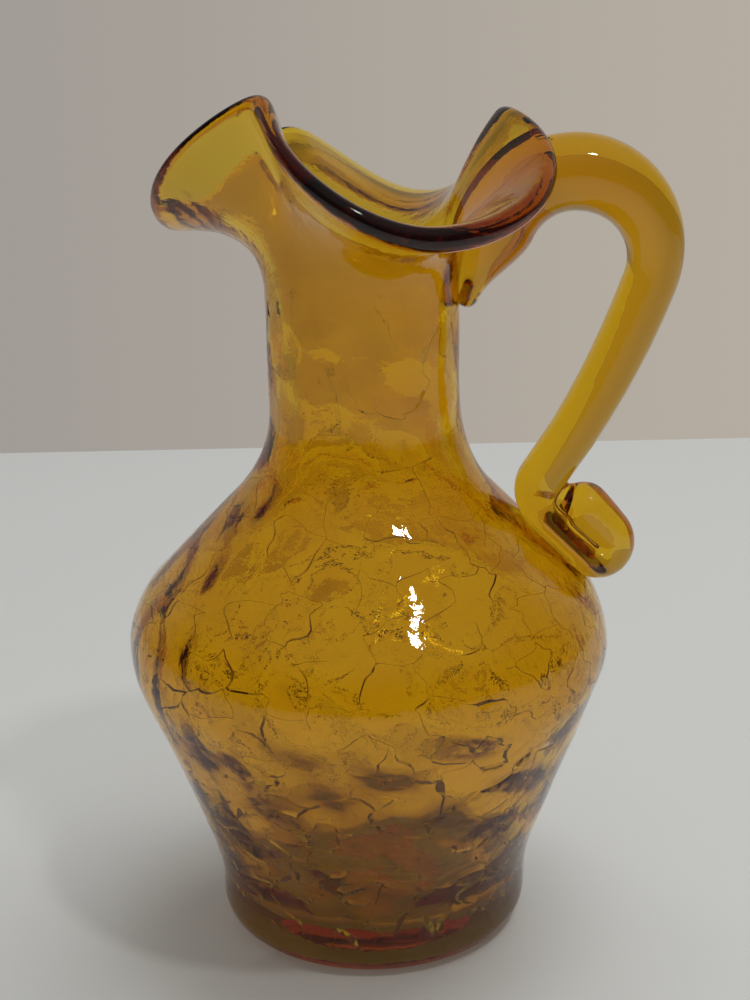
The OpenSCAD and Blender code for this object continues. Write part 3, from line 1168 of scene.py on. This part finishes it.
@dataclass(frozen=True)
class GatherShape:
    """The gather's line and sections: over the arch, down to the shoulder, along it, and back."""

    profile: Profile
    arch_out: float = 16.8
    arch_up: float = 4.8
    arch_r: float = 12.2
    pad_press: float = 0.6
    pad_drop: float = 1.0
    arch_t: float = 11.4
    bend_t: float = 8.2
    rod_t: float = 7.3
    rod_width: float = 1.08
    pad_t: float = 3.4
    pad_w: float = 8.0
    rod_bow: float = 130.0
    land_at: float = 12.5
    strap_length: float = 13.0
    strap_t: float = 5.0
    strap_w: float = 10.5
    land_round: float = 5.0
    fold_lap: float = 0.7
    fold_w: float = 6.8
    tail_length: float = 6.0
    tail_t: float = 7.6
    tip_t: float = 4.6
    tip_r: float = 3.5
    tip_turn: float = math.radians(45)
    strap_press: float = 0.6
    arch_even: float = 0.4

    def on_shoulder(self, along: float, off: float) -> Array:
        """Returns the point along the shoulder from the neck and off its surface."""
        p = self.profile
        way = np.array([math.sin(p.turn), -math.cos(p.turn)])
        out = np.array([math.cos(p.turn), math.sin(p.turn)])
        return np.array([p.neck_r, p.neck_z]) + along * way + off * out

    @property
    def fold_r(self) -> float:
        """Radius of the fold, which lays the tail on the strap."""
        return (self.strap_t + self.tail_t) / 4 - self.fold_lap / 2

    def stretches(self) -> tuple[Array, ...]:
        """Returns the pad's tip, arch, rod, landing, fold and tip, as points."""
        p = self.profile
        strap_off = self.strap_t / 2 - self.strap_press
        strap_end = self.land_at + self.strap_length
        centre = np.array([p.neck_r + self.arch_out, p.neck_top + self.arch_up])
        pad = np.array([p.neck_r + self.pad_t / 2 - self.pad_press, p.neck_top - self.pad_drop])
        land = self.on_shoulder(self.land_at, strap_off)
        away, back = float(np.linalg.norm(land - centre)), self.rod_bow - self.arch_r
        start = bearing(pad - centre) - math.acos(self.arch_r / float(np.linalg.norm(pad - centre)))
        along = (self.rod_bow**2 - back**2 - away**2) / (2 * back)
        end = bearing(land - centre) + math.acos(along / away)
        bow = centre - back * np.array([math.cos(end), math.sin(end)])
        rod = arc(bow, self.rod_bow, end, bearing(land - bow))[1:-1]
        fold = self.on_shoulder(strap_end, strap_off + self.fold_r)
        tip_off = strap_off + 2 * self.fold_r - self.tip_r
        tip = self.on_shoulder(strap_end - self.tail_length, tip_off)
        reach = 2 * self.land_round
        rod = rod[np.linalg.norm(rod - land, axis=1) > reach]
        return (
            pad[None],
            arc(centre, self.arch_r, start + FULL_TURN, end),
            rod,
            fillet(land, rod[-1], self.on_shoulder(strap_end, strap_off), self.land_round),
            arc(fold, self.fold_r, p.turn - math.pi, p.turn),
            arc(tip, self.tip_r, p.turn, p.turn + self.tip_turn),
        )

    def rings(self, step: float) -> Array:
        """Returns x, z, thickness and width of the gather, evenly along its line."""
        parts = self.stretches()
        arch, fold = parts[1], parts[4]
        line = Polyline(np.concatenate(parts))
        ends = np.cumsum([len(part) for part in parts]) - 1
        at = line.along
        rod_w, wide = self.rod_width, self.arch_t * self.rod_width
        keys = np.array(
            [
                (0, self.pad_t, self.pad_w),
                (at[1], self.arch_t, wide),
                (at[round(len(arch) * self.arch_even)], self.arch_t, wide),
                (at[ends[1]], self.bend_t, self.bend_t * rod_w),
                (at[ends[2] + 1], self.rod_t, self.rod_t * rod_w),
                (at[ends[3]], self.strap_t, self.strap_w),
                (at[ends[3] + 1], self.strap_t, self.strap_w),
                (
                    at[ends[3] + round(len(fold) / 2)],
                    2 * self.fold_r + self.fold_lap / 2,
                    self.fold_w,
                ),
                (at[ends[4] + 1], self.tail_t, self.tail_t * rod_w),
                (line.length, self.tip_t, self.tip_t * rod_w),
            ]
        )
        s = np.linspace(0, line.length, math.ceil(line.length / step))
        i = np.clip(np.searchsorted(keys[:, 0], s, side="right") - 1, 0, len(keys) - 2)
        t = smooth((s - keys[i, 0]) / (keys[i + 1, 0] - keys[i, 0]))[:, None]
        return np.concatenate([line.at(s), keys[i, 1:] + (keys[i + 1, 1:] - keys[i, 1:]) * t], 1)


@dataclass
class Handle:
    """The handle: one gather of glass, pressed on the neck and shoulder, its tail folded back."""

    shape: GatherShape
    finish: AmberGlass
    ring_step: float = 0.7
    sides: int = 40
    cap_steps: int = 6
    voxel: float = 0.32
    rounds: int = 14
    bury: float = 0.3
    body: str = "root"
    slot: str = "amber_rod_glass"

    def sweep(self) -> Shell:
        """Returns the gather as one rough sweep with round ends."""
        rings = self.shape.rings(self.ring_step)
        way = unit(np.gradient(rings[:, :2], axis=0))
        around = np.arange(self.sides) / self.sides * FULL_TURN
        turns = [math.pi / 2 * k / self.cap_steps for k in range(1, self.cap_steps)]
        rows = [(rings[0], way[0], -c) for c in turns[::-1]]
        rows += [(ring, d, 0.0) for ring, d in zip(rings, way)]
        rows += [(rings[-1], way[-1], c) for c in turns]
        shell, made = Shell(), []
        for (x, z, thick, wide), d, c in rows:
            push, shrink = thick / 2 * math.sin(c), math.cos(c)
            side = thick / 2 * shrink * np.cos(around)
            across = wide / 2 * shrink * np.sin(around)
            points = [x + d[0] * push - d[1] * side, across, z + d[1] * push + d[0] * side]
            made.append(shell.add(np.stack(points, 1)))
        for low, high in zip(made, made[1:]):
            shell.bridge(low, high)
        for k, sign in ((0, -1), (-1, 1)):
            ring, d, row = rings[k], way[k], made[k]
            reach = sign * ring[2] / 2
            tip = np.array([ring[0] + d[0] * reach, 0, ring[1] + d[1] * reach])
            shell.close(row, tip, up=sign > 0)
        return shell

    def fuse(self, mesh: bpy.types.Mesh) -> bpy.types.Mesh:
        """Melts the overlapping sweep into one skin and relaxes it."""
        rough = place_object("handle_rough", mesh)
        remesh = rough.modifiers.new("melt", "REMESH")
        remesh.mode = "VOXEL"
        remesh.voxel_size = self.voxel * MM
        remesh.use_smooth_shade = True
        relax = rough.modifiers.new("relax", "SMOOTH")
        relax.factor = 0.5
        relax.iterations = self.rounds
        graph = bpy.context.evaluated_depsgraph_get()
        fused = bpy.data.meshes.new_from_object(rough.evaluated_get(graph))
        bpy.data.objects.remove(rough)
        return fused

    def press(self, mesh: bpy.types.Mesh, outside: BVHTree) -> None:
        """Pushes what would enter the vessel back to just under its outside."""
        n = len(mesh.vertices)
        flat = np.empty(n * 3)
        mesh.vertices.foreach_get("co", flat)
        points = flat.reshape(n, 3) / MM
        for i, p in enumerate(points):
            at, normal, _, _ = outside.find_nearest(Vector(p), 9.0)
            if at is None:
                continue
            depth = -(Vector(p) - at).dot(normal)
            if depth > self.bury:
                points[i] = at - normal * self.bury
        mesh.vertices.foreach_set("co", (points * MM).ravel())
        mesh.update()

    def build(self, outside: BVHTree) -> bpy.types.Object:
        """Builds and dresses the handle.

        Args:
            outside: The vessel's outside, which the handle was pressed against.

        Returns:
            The handle.
        """
        mesh = self.fuse(self.sweep().mesh("handle_rough", 180.0))
        self.press(mesh, outside)
        mesh.name = "handle_glass"
        mesh.shade_smooth()
        LOG.info("handle: %d faces, %d loose edges", len(mesh.polygons), loose_edges(mesh))
        piece = place_object("handle_glass", mesh)
        mesh.materials.clear()
        mesh.materials.append(self.finish.build())
        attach(piece, self.body)
        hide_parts("handle")
        return piece


# ---------------------------------------------------------------- the studio


@dataclass(frozen=True)
class Lamp:
    """A soft square light, aimed at the pitcher's middle."""

    name: str
    place: tuple[float, float, float]
    size: float
    power: float
    colour: tuple[float, float, float] = (1.0, 1.0, 1.0)
    mirrored: bool = True
    shades: bool = True

    def build(self, target: Vector) -> None:
        """Puts the light up."""
        data = bpy.data.lights.new(self.name, "AREA")
        data.shape, data.size = "SQUARE", self.size
        data.energy, data.color, data.use_shadow = self.power, self.colour, self.shades
        lamp = bpy.data.objects.new(self.name, data)
        lamp.location = self.place
        lamp.visible_glossy = lamp.visible_transmission = self.mirrored
        lamp.rotation_euler = (target - Vector(self.place)).to_track_quat("-Z", "Y").to_euler()
        bpy.context.scene.collection.objects.link(lamp)


@dataclass(frozen=True)
class Studio:
    """A pale table in front of a pale wall of light, and the camera."""

    table_colour: tuple[float, float, float, float] = (0.62, 0.64, 0.64, 1)
    table_back: float = 0.271
    table_side: float = 1.4
    wall_left: tuple[float, float, float, float] = (0.36, 0.33, 0.305, 1)
    wall_right: tuple[float, float, float, float] = (0.46, 0.415, 0.355, 1)
    room: tuple[float, float, float, float] = (0.06, 0.056, 0.052, 1)
    ceiling: tuple[float, float, float, float] = (0.2, 0.2, 0.2, 1)
    lamps: Sequence[Lamp] = (
        Lamp("ceiling_lamp", (0.3, -0.34, 0.9), 0.07, 1.2, (1.0, 0.97, 0.93)),
        Lamp("soft_light", (0.24, 0.22, 1.1), 0.8, 6.3, mirrored=False),
        Lamp(
            "fill_light",
            (0.1, -0.15, 1.2),
            0.8,
            3.3,
            (1.0, 0.94, 0.85),
            mirrored=False,
            shades=False,
        ),
    )
    camera_place: tuple[float, float, float] = (0.0, -0.264, 0.1541)
    pitch: float = math.radians(17.8)
    roll: float = math.radians(1.1)
    heading: float = math.radians(0.29)
    lens: float = 64.8
    sensor: float = 36.0

    def build_table(self) -> None:
        """Lays the table."""
        shell = Shell()
        side, back = self.table_side / MM, self.table_back / MM
        corners = [[-side, -side, 0], [side, -side, 0], [side, back, 0], [-side, back, 0]]
        shell.faces.append(tuple(shell.add(np.array(corners, float))))
        mesh = shell.mesh("table", 30.0)
        material = bpy.data.materials.new("table_paint")
        material.use_nodes = True
        bench = Bench(material.node_tree)
        place = bench.add("ShaderNodeTexCoord", {}, {}, "Object")
        speck = bench.add("ShaderNodeTexNoise", {}, {"Vector": place, "Scale": 400.0}, "Fac")
        normal = bench.add(
            "ShaderNodeBump", {}, {"Strength": 0.05, "Distance": MM, "Height": speck}, "Normal"
        )
        paint = bench.add(
            "ShaderNodeBsdfPrincipled",
            {},
            {"Base Color": self.table_colour, "Roughness": 0.55, "Normal": normal},
        )
        bench.node("ShaderNodeOutputMaterial", {}, {"Surface": paint})
        mesh.materials.append(material)
        place_object("table", mesh)

    def build_world(self) -> None:
        """Lights the room: a pale wall behind, a dim room in front, a brighter ceiling."""
        world = bpy.data.worlds.new("room")
        bpy.context.scene.world = world
        world.use_nodes = True
        bench = Bench(world.node_tree)
        way = bench.add("ShaderNodeTexCoord", {}, {}, "Generated")
        parts = bench.node("ShaderNodeSeparateXYZ", {}, {"Vector": way})
        depth, height = Value(bench, parts.outputs["Y"]), Value(bench, parts.outputs["Z"])
        front = bench.add(
            "ShaderNodeMapRange",
            {"interpolation_type": "SMOOTHSTEP"},
            {"Value": depth, "From Min": 0.1, "From Max": 0.85, "To Min": 0.0, "To Max": 1.0},
        )
        top = bench.add(
            "ShaderNodeMapRange",
            {"interpolation_type": "SMOOTHSTEP"},
            {"Value": height, "From Min": 0.35, "From Max": 0.9, "To Min": 0.0, "To Max": 1.0},
        )
        across = bench.add(
            "ShaderNodeMapRange",
            {"interpolation_type": "SMOOTHSTEP"},
            {"Value": Value(bench, parts.outputs["X"]), "From Min": -0.25, "From Max": 0.25},
        )
        wall = bench.add(
            "ShaderNodeMix",
            {"data_type": "RGBA"},
            {0: across, 6: self.wall_left, 7: self.wall_right},
            2,
        )
        round_about = bench.add(
            "ShaderNodeMix", {"data_type": "RGBA"}, {0: front, 6: self.room, 7: wall}, 2
        )
        colour = bench.add(
            "ShaderNodeMix", {"data_type": "RGBA"}, {0: top, 6: round_about, 7: self.ceiling}, 2
        )
        glow = bench.add("ShaderNodeBackground", {}, {"Color": colour, "Strength": 1.0})
        bench.node("ShaderNodeOutputWorld", {}, {"Surface": glow})

    def build_camera(self) -> None:
        """Sets the camera up."""
        data = bpy.data.cameras.new("camera")
        data.lens, data.sensor_width = self.lens, self.sensor
        data.clip_start, data.clip_end = 0.01, 20.0
        camera = bpy.data.objects.new("camera", data)
        sp, cp = math.sin(self.pitch), math.cos(self.pitch)
        sy, cy = math.sin(self.heading), math.cos(self.heading)
        ahead = Vector((sy * cp, cy * cp, -sp))
        right, up = Vector((cy, -sy, 0)), Vector((sy * sp, cy * sp, cp))
        x = right * math.cos(self.roll) - up * math.sin(self.roll)
        y = right * math.sin(self.roll) + up * math.cos(self.roll)
        turn = Matrix((x, y, -ahead)).transposed().to_4x4()
        camera.matrix_world = Matrix.Translation(self.camera_place) @ turn
        bpy.context.scene.collection.objects.link(camera)
        bpy.context.scene.camera = camera

    def set_render(self) -> None:
        """Lets light take its long way through glass, and keeps colours plain."""
        scene = bpy.context.scene
        scene.view_settings.view_transform = "Standard"
        cycles = scene.cycles
        cycles.max_bounces = 40
        cycles.transmission_bounces = 40
        cycles.glossy_bounces = 12
        cycles.diffuse_bounces = 4
        cycles.transparent_max_bounces = 16
        cycles.caustics_refractive = True
        cycles.caustics_reflective = True
        cycles.sample_clamp_indirect = 4.0
        cycles.blur_glossy = 0.3
        cycles.use_denoising = True

    def build(self) -> None:
        """Builds the whole studio."""
        self.build_table()
        self.build_world()
        self.build_camera()
        self.set_render()
        low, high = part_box("vessel")
        for lamp in self.lamps:
            lamp.build((low + high) / 2)


def main() -> None:
    """Builds the studio and the pitcher, piece by piece."""
    logging.basicConfig(level=logging.INFO, format="%(name)s: %(message)s")
    profile = Profile()
    Studio().build()
    # The paler colour on the crack faces is a painted glint.
    finish = AmberGlass("amber_crackle_glass", fracture_painted_glint=(1.0, 0.92, 0.55))
    vessel = Vessel(profile, Ruffle(profile), CracklePlan(), finish)
    rod = AmberGlass(
        "amber_rod_glass",
        skin=(0.9, 0.67, 0.04),
        tint=(0.87, 0.56, 0.0),
        density=110.0,
        ripple=0.15,
        grain=0.0,
    )
    handle = Handle(GatherShape(profile), rod)
    for piece in (vessel.build(), handle.build(vessel.outer_tree())):
        LOG.info("made %s: %d faces", piece.name, len(piece.data.polygons))


if __name__ == "__main__":
    main()
